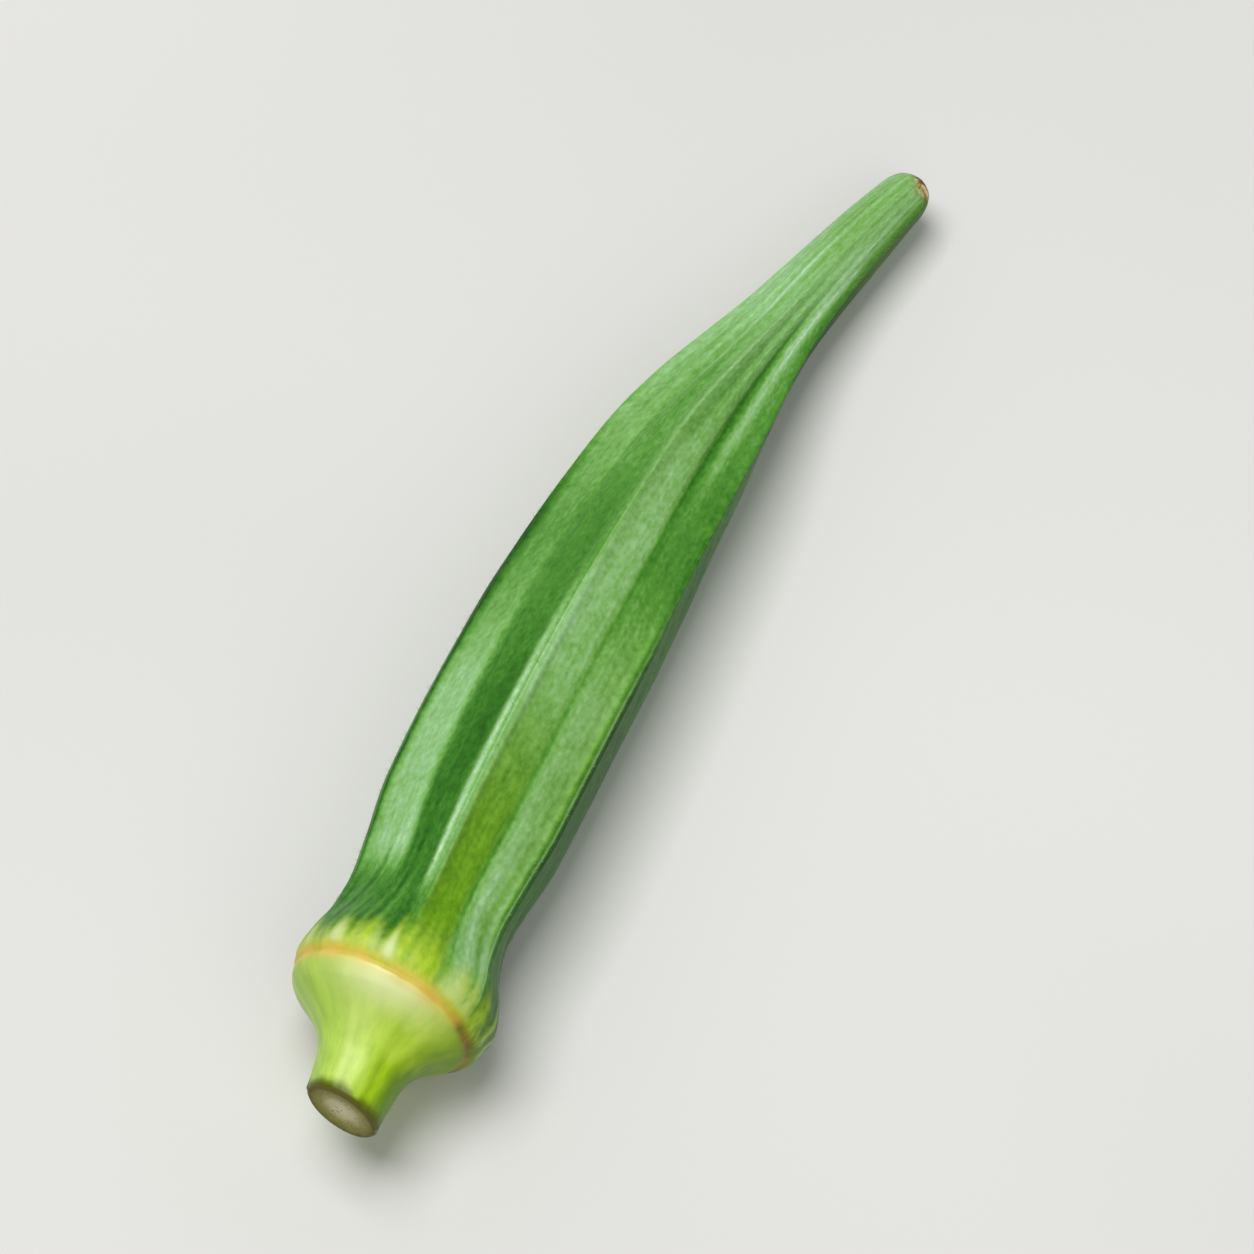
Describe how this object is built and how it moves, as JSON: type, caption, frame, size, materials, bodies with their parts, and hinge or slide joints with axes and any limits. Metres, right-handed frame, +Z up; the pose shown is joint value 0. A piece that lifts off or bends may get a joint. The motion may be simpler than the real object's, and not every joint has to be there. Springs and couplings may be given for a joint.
{
  "type": "okra pod",
  "caption": "Green ribbed okra pod lying on its side: cut stalk, pale domed cap, pleated shoulder and a slender body tapering to a blunt tip.",
  "frame": {"origin": "middle of the lying pod's footprint, on the surface that it rests on", "axes": "+X along the pod from the cut stalk to the tip, +Z up, +Y to the side that its middle bows out to"},
  "size_m": [0.1204, 0.0236, 0.0198],
  "materials": {
    "pod_skin": "satin"
  },
  "bodies": {
    "root": {"okra_pod": "pod_skin"}
  },
  "joints": []
}
